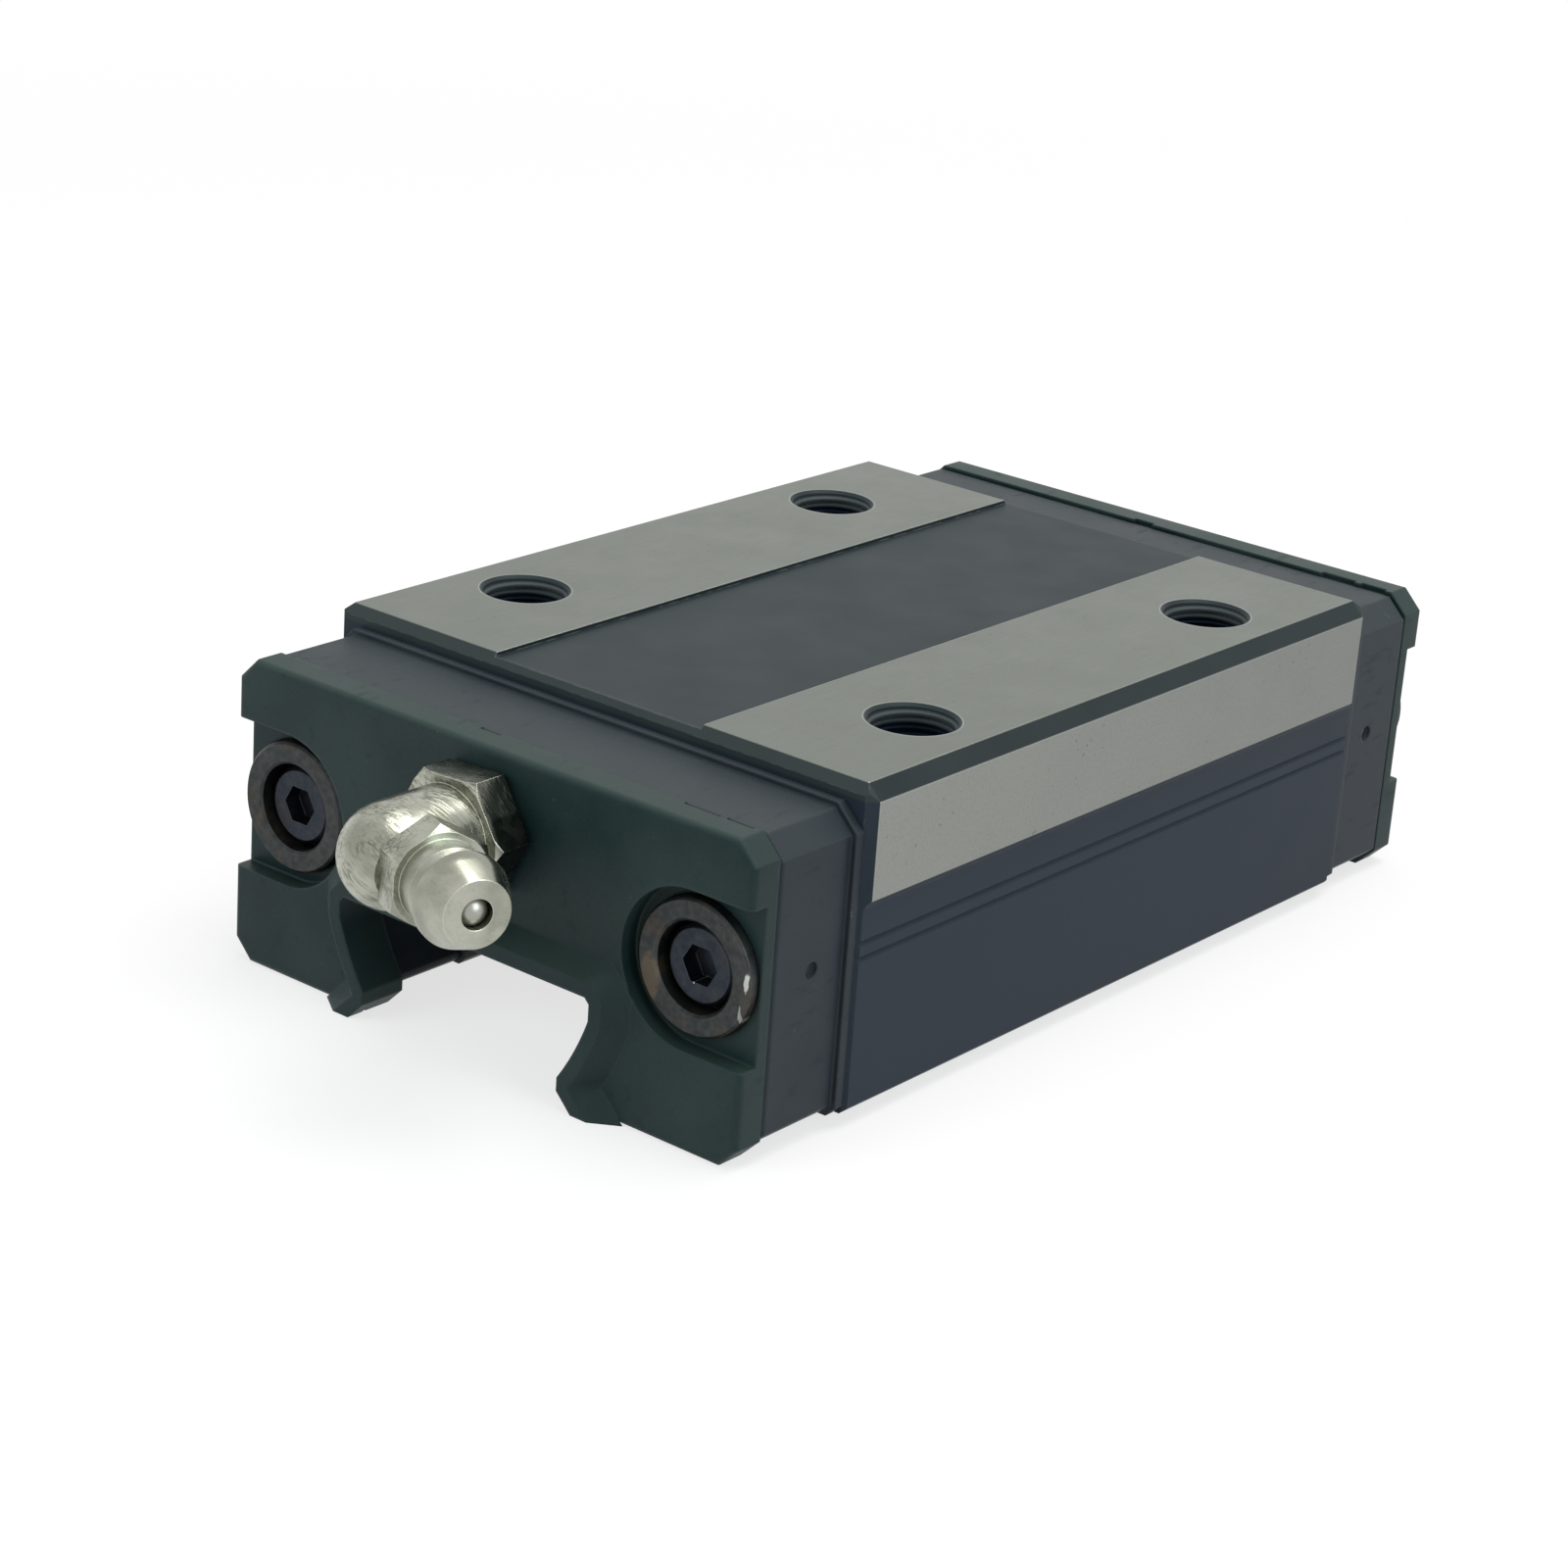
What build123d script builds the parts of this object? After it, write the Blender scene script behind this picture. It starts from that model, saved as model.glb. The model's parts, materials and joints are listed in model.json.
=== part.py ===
from build123d import *
import math
import os
from dataclasses import dataclass

# A linear bearing carriage without its rail. Lengths are millimetres and angles degrees.
# The origin is the middle of the mounting face. X runs across, Y along the travel, Z up out
# of the face, so a depth below the face is a negative Z. The front end, with the nipple, is -Y.

# Steel carriage block. A skirt is how far a piece reaches below the rail's top.
block_width = 48.0
block_length = 59.5
block_skirt = 7.8
edge_chamfer = 1.08
end_chamfer = 0.7
recess_half_width = 9.25
recess_depth = 0.3
ground_band_depth = 7.8
side_slope_end_depth = 8.4
side_slope_inset = 0.42
side_groove_depths = (10.8, 11.9)
side_groove_half_width = 0.2
side_groove_cut = 0.18
foot_chamfer = 0.4
channel_side_room = 1.2
channel_top_room = 1.8

# Threaded mounting holes, drawn plain at the thread's outer size
bolt_spacing_across = 35.0
bolt_spacing_along = 35.0
bolt_radius = 3.0
bolt_hole_depth = 9.0
bolt_countersink_radius = 3.25
drill_tip_angle = 118.0

# The rail that the carriage runs on, which sets every opening
rail_width = 23.0
rail_height = 18.0
rail_top_depth = 15.0
rail_edge_chamfer = 0.5
rail_flank_drop = 1.8
rail_flank_bulge = 0.2
rail_neck_inset = 2.4
rail_neck_drop = 6.6
rail_neck_height = 0.8

# Ball circuits
ball_diameter = 3.969
least_ball_gap = 0.25
balls_per_turn = 3
upper_row_inset = 5.7
upper_row_rise = 1.1
upper_turn_angle = 45.0
lower_row_gap = 0.5
lower_row_drop = 4.2
lower_turn_angle = 0.0
groove_clearance = 0.06
passage_clearance = 0.12

# Moulded retainers between the balls
retainer_clearance = 0.05
retainer_rail_clearance = 0.3
retainer_tongue = 1.2

# End caps
cap_side_inset = 1.0
cap_length = 7.75
cap_top_depth = 1.75
cap_skirt = 7.5
cap_top_chamfer = 1.5
cap_bottom_chamfer = 0.5
cap_front_chamfer = 0.3
cap_flange_rise = 0.4
cap_flange_length = 0.75
cap_rail_clearance = 0.6
gate_mark_radius = 0.6
gate_mark_depth = 0.3
gate_mark_drop = 11.6
grease_groove_width = 1.2
grease_groove_depth = 0.8

# Return guides, the cores that the balls turn round
guide_core_width = 3.4
guide_plate_half_width = 3.2
guide_plate_thickness = 1.0
guide_clearance = 0.05
guide_wall = 0.5

# End seals
seal_side_inset = 0.05
seal_thickness = 2.5
seal_top_depth = 1.5
seal_skirt = 8.8
seal_chamfer = 1.5
seal_edge_radius = 0.5
seal_interference = 0.2
lip_height = 1.35
lip_edge_width = 1.0
lip_slope_width = 1.4
seal_pocket_radius = 5.5
seal_pocket_depth = 1.5
seam_notch_depth = 0.35
seam_notch_height = 0.5
seam_notch_spans = ((-2.4, -0.6), (15.2, 18.2), (18.7, 20.9))

# Cap screws and their collars
screw_edge_distance = 5.95
screw_drop = 11.4
screw_radius = 1.5
screw_head_radius = 2.75
screw_head_height = 3.0
screw_head_sink = 0.5
screw_seat_depth = 1.3
screw_head_chamfer = 0.3
screw_grip = 6.0
screw_hole_spare = 2.0
screw_hole_clearance = 0.1
socket_width = 2.5
socket_depth = 1.3
collar_radius = 4.65
collar_bore_radius = 3.1
collar_height = 1.9
collar_chamfer = 0.2
collar_clearance = 0.05
thread_clearance = 0.03

# Grease port, nipple and plug
port_drop = 7.0
port_radius = 3.0
port_engagement = 5.0
port_seal_clearance = 0.3
plug_length = 5.0
plug_socket_width = 3.0
plug_socket_depth = 2.0
nipple_boss_radius = 3.5
nipple_boss_height = 0.35
nipple_hex_width = 8.2
nipple_hex_height = 2.85
nipple_hex_chamfer = 0.4
nipple_hex_turn = 3.0
elbow_radius = 3.6
elbow_length = 4.8
elbow_passage_radius = 1.0
head_angle = 22.5
head_setback = 1.3
head_spot_clearance = 0.1
head_seat_distance = 3.2
head_hex_width = 6.5
head_hex_height = 2.3
head_hex_chamfer = 0.45
head_body_radius = 2.85
head_body_height = 1.5
head_neck_radius = 2.35
head_neck_height = 0.5
head_bulge_radius = 3.2
head_bulge_rise = 0.9
head_bulge_height = 0.5
head_tip_radius = 2.3
head_tip_height = 2.2
head_shank_radius = 2.0
head_shank_length = 1.6
head_bore_radius = 0.5
check_ball_radius = 1.2
check_chamber_radius = 1.3
check_mouth_radius = 1.05
check_mouth_length = 0.7
check_clearance = 0.04
spring_wire_radius = 0.15
spring_coil_radius = 0.9
spring_turns = 4
spring_length = 3.6

# Values that follow from the sizes above
half_length = block_length / 2
block_height = rail_top_depth + block_skirt
cap_bottom_depth = rail_top_depth + cap_skirt
seal_bottom_depth = rail_top_depth + seal_skirt
rail_neck_half_width = rail_width / 2 - rail_neck_inset
channel_half_width = rail_width / 2 + channel_side_room
channel_depth = rail_top_depth - channel_top_room
upper_row_offset = rail_width / 2 - upper_row_inset
upper_row_depth = rail_top_depth - upper_row_rise
lower_row_offset = rail_width / 2 + lower_row_gap
lower_row_depth = rail_top_depth + lower_row_drop
cap_width = block_width - 2 * cap_side_inset
seal_width = cap_width - 2 * seal_side_inset
screw_offset = block_width / 2 - screw_edge_distance
bolt_hole_radius = bolt_radius + thread_clearance
balls_per_row = int(block_length / (ball_diameter + least_ball_gap))
row_pitch = block_length / balls_per_row
turn_radius = balls_per_turn * row_pitch / math.pi
ball_radius = ball_diameter / 2
groove_radius = ball_radius + groove_clearance
passage_radius = ball_radius + passage_clearance
cap_end = half_length + cap_length
seal_end = cap_end + seal_thickness
screw_seat = cap_end - screw_seat_depth
return_distance = 2 * turn_radius

# How far a cutting tool runs past the face it opens
overrun = 1.0

# Signs of the two sides and the two ends, and their names
left, right = -1, 1
front, rear = -1, 1
side_names = {left: "left", right: "right"}
end_names = {front: "front", rear: "rear"}
hexagon_sides = 6


@dataclass(frozen=True)
class BallCircuit:
    """One closed loop of balls: a loaded row, a return row and a turn at each end."""

    name: str
    side: int
    load_offset: float
    load_depth: float
    turn_angle: float

    def outward(self):
        """Direction from the loaded row to the return row."""
        tilt = math.radians(self.turn_angle)
        return Vector(self.side * math.cos(tilt), 0, math.sin(tilt))

    def place(self, distance, along):
        """Point at a distance from the loaded row towards the return row."""
        return Vector(self.side * self.load_offset, along, -self.load_depth) + self.outward() * distance

    def turn_axis(self, end):
        """Axis of the turn at one end."""
        direction = self.outward().cross(Vector(0, -end, 0))
        return Axis(self.place(turn_radius, end * half_length), direction)


def make_circuits(side, side_name):
    """The upper and the lower circuit of one side."""
    return [
        BallCircuit(f"upper_{side_name}", side, upper_row_offset, upper_row_depth, upper_turn_angle),
        BallCircuit(f"lower_{side_name}", side, lower_row_offset, lower_row_depth, lower_turn_angle),
    ]


circuits = {side: make_circuits(side, name) for side, name in side_names.items()}
all_circuits = circuits[left] + circuits[right]


def both_halves(*edges):
    """Close an outline drawn to the right of the middle with its mirror image."""
    half = Curve() + list(edges)
    return make_face(half + mirror(half, about=Plane.YZ))


def prism(section, start, end):
    """Push a section drawn across the travel from one place along it to another."""
    placed = Plane(origin=(0, start, 0), x_dir=(1, 0, 0), z_dir=(0, -1, 0)) * section
    return extrude(placed, amount=end - start, dir=(0, 1, 0))


def rod(radius, centre, start, end):
    """Round bar along the travel through a point given across it."""
    return prism(Pos(centre.X, centre.Z) * Circle(radius), start, end)


def rail_section(clearance):
    """Section of the rail, grown by a clearance, or shrunk by a negative one."""
    half = rail_width / 2
    flank = rail_top_depth + rail_flank_drop
    neck = rail_top_depth + rail_neck_drop
    neck_end = neck + rail_neck_height
    spread = neck_end + half - rail_neck_half_width
    foot = rail_top_depth + rail_height
    middle = ((half + rail_neck_half_width) / 2 + rail_flank_bulge, -(flank + neck) / 2)
    head = Polyline(
        (0, -rail_top_depth),
        (half - rail_edge_chamfer, -rail_top_depth),
        (half, -rail_top_depth - rail_edge_chamfer),
        (half, -flank),
    )
    side = ThreePointArc((half, -flank), middle, (rail_neck_half_width, -neck))
    base = Polyline(
        (rail_neck_half_width, -neck),
        (rail_neck_half_width, -neck_end),
        (half, -spread),
        (half, -foot),
        (0, -foot),
    )
    section = both_halves(head, side, base)
    if clearance == 0:
        return section
    return offset(section, amount=clearance, kind=Kind.INTERSECTION)


def channel_section():
    """Section of the open channel under the block."""
    half = channel_half_width
    bottom = block_height + overrun
    return both_halves(Polyline((0, -channel_depth), (half, -channel_depth), (half, -bottom), (0, -bottom)))


def load_tunnels(reach):
    """Straight grooves of the four loaded rows."""
    return [rod(groove_radius, c.place(0, 0), -reach, reach) for c in all_circuits]


def turn_tube(circuit, end, radius):
    """Half of a ring that carries the balls from the loaded row to the return row."""
    mouth = Plane(origin=circuit.place(0, end * half_length), x_dir=(1, 0, 0), z_dir=(0, end, 0))
    return revolve(mouth * Circle(radius), axis=circuit.turn_axis(end), revolution_arc=180)


def guide_core(circuit, end, clearance):
    """Half cylinder inside a turn, before the balls' groove is cut in it."""
    axis = circuit.turn_axis(end)
    width = guide_core_width + 2 * clearance
    plane = Plane(origin=axis.position, x_dir=(0, end, 0), z_dir=axis.direction)
    disc = plane * Cylinder(turn_radius, width)
    outside = Box(2 * block_width, 2 * turn_radius, 2 * block_width)
    return disc & Pos(0, end * (half_length + turn_radius), 0) * outside


def turn_cavity(circuit, end):
    """Room for one turn of balls and the core that they run round."""
    return turn_tube(circuit, end, passage_radius) + guide_core(circuit, end, guide_clearance)


def guide_plate_section(side, clearance):
    """Outline of the thin plate that joins a side's two cores, inside the cap's walls."""
    upper, lower = (c.place(turn_radius, 0) for c in circuits[side])
    run = lower - upper
    angle = math.degrees(math.atan2(run.Z, run.X))
    middle = (upper + lower) * 0.5
    slot = SlotCenterToCenter(run.length, 2 * (guide_plate_half_width + clearance))
    wall = guide_wall - clearance
    room = offset(cap_outline(), amount=-wall, kind=Kind.INTERSECTION)
    room -= rail_section(cap_rail_clearance + wall)
    return (Pos(middle.X, middle.Z) * Rot(0, 0, angle) * slot) & room


def guide_plate(side, end, clearance):
    """The thin plate against the block's end face."""
    start = end * half_length
    stop = end * (half_length + guide_plate_thickness + clearance)
    return prism(guide_plate_section(side, clearance), start, stop)


def retainer_recess(end):
    """Recess in a cap that takes the ends of the retainers."""
    reach = half_length + retainer_tongue + retainer_clearance
    return prism(channel_section(), end * half_length, end * reach)


def side_groove(half, depth):
    """Corners of one shallow line along the block's side, from its top down."""
    width = side_groove_half_width
    return [(half, width - depth), (half - side_groove_cut, -depth), (half, -width - depth)]


def block_outline():
    """Section of the steel block with its ground strips, lined sides and open channel."""
    half = block_width / 2
    lower = half - side_slope_inset
    corners = [
        (0, -recess_depth),
        (recess_half_width, -recess_depth),
        (recess_half_width, 0),
        (half - edge_chamfer, 0),
        (half, -edge_chamfer),
        (half, -ground_band_depth),
        (lower, -side_slope_end_depth),
    ]
    for depth in side_groove_depths:
        corners += side_groove(lower, depth)
    corners += [
        (lower, foot_chamfer - block_height),
        (lower - foot_chamfer, -block_height),
        (channel_half_width, -block_height),
        (channel_half_width, -channel_depth),
        (0, -channel_depth),
    ]
    return both_halves(Polyline(*corners))


def mounting_hole(x, y):
    """Drilled and countersunk hole for one mounting bolt."""
    tip = bolt_hole_radius / math.tan(math.radians(drill_tip_angle / 2))
    sink = bolt_countersink_radius - bolt_hole_radius
    profile = make_face(
        Polyline(
            (0, overrun),
            (bolt_countersink_radius, overrun),
            (bolt_countersink_radius, 0),
            (bolt_hole_radius, -sink),
            (bolt_hole_radius, -bolt_hole_depth),
            (0, -bolt_hole_depth - tip),
            (0, overrun),
        )
    )
    return Pos(x, y, 0) * revolve(Plane.XZ * profile, axis=Axis.Z)


def end_edge_cuts(end):
    """Wedges that bevel the top edge and the two upright edges at one end of the block."""
    back = end * (half_length - end_chamfer)
    past = end * (half_length + end_chamfer)
    wedge = make_face(Polyline((back, 0), (past, 0), (past, -2 * end_chamfer), (back, 0)))
    cuts = [extrude(Plane.YZ * wedge, amount=block_width, both=True)]
    for side in side_names:
        edge = side * block_width / 2
        inner = edge - side * 2 * end_chamfer
        wedge = make_face(Polyline((edge, back), (edge, past), (inner, past), (edge, back)))
        cuts.append(extrude(wedge, amount=-block_height))
    return cuts


def screw_place(side):
    """Axis of one end's screw, across the travel."""
    return Vector(side * screw_offset, 0, -screw_drop)


def make_block():
    """The steel block with its ball grooves, return passages and threaded holes."""
    block = prism(block_outline(), -half_length, half_length)
    reach = half_length + overrun
    cuts = load_tunnels(reach)
    cuts += [rod(passage_radius, c.place(return_distance, 0), -reach, reach) for c in all_circuits]
    for across in (-bolt_spacing_across / 2, bolt_spacing_across / 2):
        for along in (-bolt_spacing_along / 2, bolt_spacing_along / 2):
            cuts.append(mounting_hole(across, along))
    inner = half_length - screw_grip - screw_hole_spare
    for end in end_names:
        cuts += end_edge_cuts(end)
        for side in side_names:
            cuts.append(rod(screw_radius + thread_clearance, screw_place(side), end * inner, end * reach))
    return block - cuts


def make_retainers():
    """The moulded strips that fill the channel round the loaded balls."""
    section = offset(channel_section(), amount=-retainer_clearance, kind=Kind.INTERSECTION)
    trim = Pos(0, -block_height + retainer_clearance - overrun) * Rectangle(block_width, 2 * overrun)
    section = section - trim - rail_section(retainer_rail_clearance)
    reach = half_length + retainer_tongue
    strips = prism(section, -reach, reach) - load_tunnels(reach + overrun)
    for circuit in all_circuits:
        for end in end_names:
            strips -= turn_cavity(circuit, end)
    return strips


def cap_outline():
    """Section of an end cap, before the rail's opening is cut in it."""
    half = cap_width / 2
    return both_halves(
        Polyline(
            (0, -cap_top_depth),
            (half - cap_top_chamfer, -cap_top_depth),
            (half, -cap_top_depth - cap_top_chamfer),
            (half, cap_bottom_chamfer - cap_bottom_depth),
            (half - cap_bottom_chamfer, -cap_bottom_depth),
            (0, -cap_bottom_depth),
        )
    )


def grease_groove(end):
    """Groove in a cap's back face from the grease port to the upper turns."""
    reach = circuits[right][0].place(return_distance, 0).X
    line = Pos(0, -port_drop) * Rectangle(2 * reach, grease_groove_width)
    return prism(line, end * half_length, end * (half_length + grease_groove_depth))


def cap_shell(end):
    """A cap's outside: its bevelled body and the flange against the block."""
    start = end * half_length
    body = prism(cap_outline(), start, end * cap_end)
    cap = chamfer(body.edges().group_by(Axis.Y)[-1 if end == rear else 0], cap_front_chamfer)
    flange = offset(cap_outline(), amount=cap_flange_rise, kind=Kind.INTERSECTION)
    return cap + prism(flange, start, end * (half_length + cap_flange_length))


def make_cap(end):
    """An end cap with its turns, guide seats, screw seats and grease port."""
    start = end * half_length
    stop = end * cap_end
    rail_room = prism(rail_section(cap_rail_clearance), start, stop)
    cuts = [rail_room, retainer_recess(end), grease_groove(end)]
    cuts.append(rod(port_radius + thread_clearance, Vector(0, 0, -port_drop), start, stop))
    for side in side_names:
        cuts += [turn_cavity(c, end) for c in circuits[side]]
        cuts.append(guide_plate(side, end, guide_clearance))
        cuts.append(rod(screw_radius + screw_hole_clearance, screw_place(side), start, stop))
        cuts.append(rod(collar_bore_radius, screw_place(side), end * screw_seat, stop))
        mark_x = side * (cap_width / 2 - gate_mark_depth)
        mark = Plane(origin=(mark_x, end * (cap_end - cap_length / 2), -gate_mark_drop), z_dir=(side, 0, 0))
        cuts.append(extrude(mark * Circle(gate_mark_radius), amount=overrun))
    return cap_shell(end) - cuts


def make_guide(side, end):
    """A side's two turning cores and the plate that joins them."""
    guide = guide_plate(side, end, 0)
    for circuit in circuits[side]:
        guide += guide_core(circuit, end, 0)
    cuts = [turn_tube(c, end, passage_radius) for c in circuits[side]]
    cuts.append(retainer_recess(end))
    return guide - cuts


def seal_outline():
    """Section of an end seal round the rail, which its lip touches."""
    half = seal_width / 2
    return both_halves(
        Polyline(
            (0, -seal_top_depth),
            (half - seal_chamfer, -seal_top_depth),
            (half, -seal_top_depth - seal_chamfer),
            (half, seal_chamfer - seal_bottom_depth),
            (half - seal_chamfer, -seal_bottom_depth),
            (0, -seal_bottom_depth),
        )
    )


def seal_lip(end):
    """Raised wiping lip that follows the rail's outline, bevelled back to the seal's face."""
    foot = rail_section(lip_edge_width + lip_slope_width - seal_interference)
    edge = rail_section(lip_edge_width - seal_interference)
    base_plane = Plane(origin=(0, end * seal_end, 0), x_dir=(1, 0, 0), z_dir=(0, -1, 0))
    edge_plane = Plane(origin=(0, end * (seal_end + lip_height), 0), x_dir=(1, 0, 0), z_dir=(0, -1, 0))
    ring = loft([base_plane * foot, edge_plane * edge], ruled=True)
    return ring & prism(seal_outline(), end * seal_end, end * (seal_end + lip_height))


def seal_pocket(side, end):
    """Round pocket for a collar, open to the seal's side edge."""
    floor = end * (seal_end - seal_pocket_depth)
    place = screw_place(side)
    side_run = seal_width / 2
    slot = Pos(place.X + side * side_run / 2, place.Z) * Rectangle(side_run, 2 * seal_pocket_radius)
    round_part = Pos(place.X, place.Z) * Circle(seal_pocket_radius)
    return prism(round_part + slot, floor, end * (seal_end + overrun))


def seam_notch(end, span):
    """Small notch in the seal's top edge against the cap."""
    left, right = span
    middle = Pos((left + right) / 2, -seal_top_depth) * Rectangle(right - left, 2 * seam_notch_height)
    return prism(middle, end * cap_end, end * (cap_end + seam_notch_depth))


def make_seal(end):
    """An end seal: plate, raised lip, collar pockets and the hole for the grease port."""
    plate = prism(seal_outline(), end * cap_end, end * seal_end)
    front_edges = plate.edges().group_by(Axis.Y)[-1 if end == rear else 0]
    seal = fillet(front_edges, seal_edge_radius) + seal_lip(end)
    reach = seal_end + lip_height + overrun
    cuts = [prism(rail_section(-seal_interference), end * (cap_end - overrun), end * reach)]
    port = Vector(0, 0, -port_drop)
    cuts.append(rod(port_radius + port_seal_clearance, port, end * cap_end, end * reach))
    cuts += [seam_notch(end, span) for span in seam_notch_spans]
    for side in side_names:
        cuts.append(seal_pocket(side, end))
        cuts.append(rod(collar_radius + collar_clearance, screw_place(side), end * cap_end, end * reach))
    return seal - cuts


def outward_plane(place, end, distance):
    """Plane at a distance from the middle, facing out of one end."""
    return Plane(origin=(place.X, end * distance, place.Z), x_dir=(1, 0, 0), z_dir=(0, end, 0))


def make_screw(side, end):
    """Socket head cap screw through a collar and a cap into the block."""
    base = outward_plane(screw_place(side), end, screw_seat)
    head = extrude(base * Circle(screw_head_radius), amount=screw_head_height - screw_head_sink)
    rim = head.edges().filter_by(GeomType.CIRCLE).group_by(Axis((0, 0, 0), base.z_dir))[-1]
    head = chamfer(rim, screw_head_chamfer)
    shank_length = screw_seat - half_length + screw_grip
    shank = extrude(base * Circle(screw_radius), amount=-shank_length)
    top = base.offset(screw_head_height - screw_head_sink)
    socket = extrude(top * RegularPolygon(socket_width / math.sqrt(3), hexagon_sides), amount=-socket_depth)
    return head + shank - socket


def make_collar(side, end):
    """Steel collar round a screw head, seated on the cap."""
    base = outward_plane(screw_place(side), end, cap_end)
    ring = extrude(base * (Circle(collar_radius) - Circle(collar_bore_radius)), amount=collar_height)
    face_edges = ring.edges().filter_by(GeomType.CIRCLE).group_by(Axis((0, 0, 0), base.z_dir))[-1]
    return chamfer(face_edges, collar_chamfer)


def make_plug():
    """Set screw that closes the grease port of the rear cap."""
    plane = outward_plane(Vector(0, 0, -port_drop), rear, cap_end)
    plug = extrude(plane * Circle(port_radius), amount=-plug_length)
    hexagon = RegularPolygon(plug_socket_width / math.sqrt(3), hexagon_sides)
    return plug - extrude(plane * hexagon, amount=-plug_socket_depth)


def elbow_corner():
    """Where the nipple's head axis leaves the elbow's axis."""
    foot = seal_end + nipple_boss_height + nipple_hex_height + elbow_length
    return Vector(0, head_setback - foot, -port_drop)


def head_plane(distance):
    """Plane across the nipple's head at a distance from the elbow's axis."""
    angle = math.radians(head_angle)
    direction = Vector(math.cos(angle), -math.sin(angle), 0)
    return Plane(origin=elbow_corner() + direction * distance, x_dir=(0, 0, 1), z_dir=direction)


def chamfered_hexagon(plane, width, height, bevel):
    """Hexagon prism whose outer corners are bevelled by a turned cone."""
    corner = width / math.sqrt(3)
    turned = Pos(0, 0, height / 2) * Cylinder(corner, height)
    turned = chamfer(turned.edges().filter_by(GeomType.CIRCLE).group_by(Axis.Z)[-1], bevel)
    return plane * (extrude(RegularPolygon(corner, hexagon_sides), amount=height) & turned)


def make_elbow():
    """The nipple's threaded foot, hexagon and ball-ended elbow."""
    port = Vector(0, 0, -port_drop)
    start = cap_end - port_engagement
    foot = outward_plane(port, front, start)
    seat = outward_plane(port, front, seal_end)
    hex_plane = seat.offset(nipple_boss_height)
    body_plane = hex_plane.offset(nipple_hex_height)
    elbow = extrude(foot * Circle(port_radius), amount=seal_end - start)
    elbow += extrude(seat * Circle(nipple_boss_radius), amount=nipple_boss_height)
    turned = hex_plane * Rot(0, 0, nipple_hex_turn)
    elbow += chamfered_hexagon(turned, nipple_hex_width, nipple_hex_height, nipple_hex_chamfer)
    elbow += extrude(body_plane * Circle(elbow_radius), amount=elbow_length)
    elbow += body_plane.offset(elbow_length) * Sphere(elbow_radius)
    spot_radius = head_hex_width / math.sqrt(3) + head_spot_clearance
    elbow -= extrude(head_plane(head_seat_distance) * Circle(spot_radius), amount=elbow_radius)
    elbow -= extrude(foot * Circle(elbow_passage_radius), amount=-elbow_corner().Y - start)
    socket = head_plane(head_seat_distance - head_shank_length - thread_clearance)
    elbow -= extrude(socket * Circle(head_shank_radius + thread_clearance), amount=2 * head_shank_length)
    return elbow - extrude(head_plane(0) * Circle(elbow_passage_radius), amount=head_seat_distance)


def head_heights():
    """Distances along the head from the elbow's axis to the tip."""
    seat = head_seat_distance
    hex_end = seat + head_hex_height
    neck = hex_end + head_body_height
    bulge = neck + head_neck_height
    widest = bulge + head_bulge_rise
    shoulder = widest + head_bulge_height
    return seat, hex_end, neck, bulge, widest, shoulder, shoulder + head_tip_height


def make_head():
    """The nipple's nozzle: hexagon, neck, bulge and the chamber of the check ball."""
    seat, hex_end, neck, bulge, widest, shoulder, tip = head_heights()
    root = seat - head_shank_length
    chamber_end = tip - check_mouth_length
    outside = Polyline(
        (0, root),
        (head_shank_radius, root),
        (head_shank_radius, seat),
        (head_body_radius, seat),
        (head_body_radius, neck),
        (head_neck_radius, bulge),
        (head_bulge_radius, widest),
        (head_bulge_radius, shoulder),
        (head_tip_radius, tip),
        (0, tip),
        (0, root),
    )
    inside = Polyline(
        (0, root),
        (head_bore_radius, root),
        (head_bore_radius, spring_seat()),
        (check_chamber_radius, spring_seat()),
        (check_chamber_radius, chamber_end),
        (check_mouth_radius, chamber_end),
        (check_mouth_radius, tip),
        (0, tip),
        (0, root),
    )
    turned = revolve(Plane.XZ * make_face(outside), axis=Axis.Z)
    nut = chamfered_hexagon(Plane.XY.offset(seat), head_hex_width, hex_end - seat, head_hex_chamfer)
    bore = revolve(Plane.XZ * make_face(inside), axis=Axis.Z)
    return head_plane(0) * (turned + nut - bore)


def ball_rest():
    """Distance of the check ball's centre from the elbow's axis, when it is shut."""
    tip = head_heights()[-1]
    rise = math.sqrt(check_ball_radius**2 - check_mouth_radius**2)
    return tip - check_mouth_length - rise - check_clearance


def spring_seat():
    """Distance of the spring's seat from the elbow's axis."""
    return ball_rest() - check_ball_radius - spring_length


def make_check_ball():
    """The ball that shuts the nipple."""
    return head_plane(ball_rest()) * Sphere(check_ball_radius)


def make_nipple_spring():
    """The coil spring that seats on the back of the check ball."""
    start = spring_seat() + spring_wire_radius + check_clearance
    touch = check_ball_radius + spring_wire_radius + check_clearance
    height = ball_rest() - math.sqrt(touch**2 - spring_coil_radius**2) - start
    path = Helix(pitch=height / spring_turns, height=height, radius=spring_coil_radius)
    wire = Plane(origin=path @ 0, z_dir=path % 0) * Circle(spring_wire_radius)
    return head_plane(start) * sweep(wire, path=path)


def row_of_balls(circuit, distance):
    """Balls of a straight row, evenly spaced along the block."""
    first = -half_length + row_pitch / 2
    spots = [circuit.place(distance, first + i * row_pitch) for i in range(balls_per_row)]
    return Compound([Pos(spot) * Sphere(ball_radius) for spot in spots])


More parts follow.
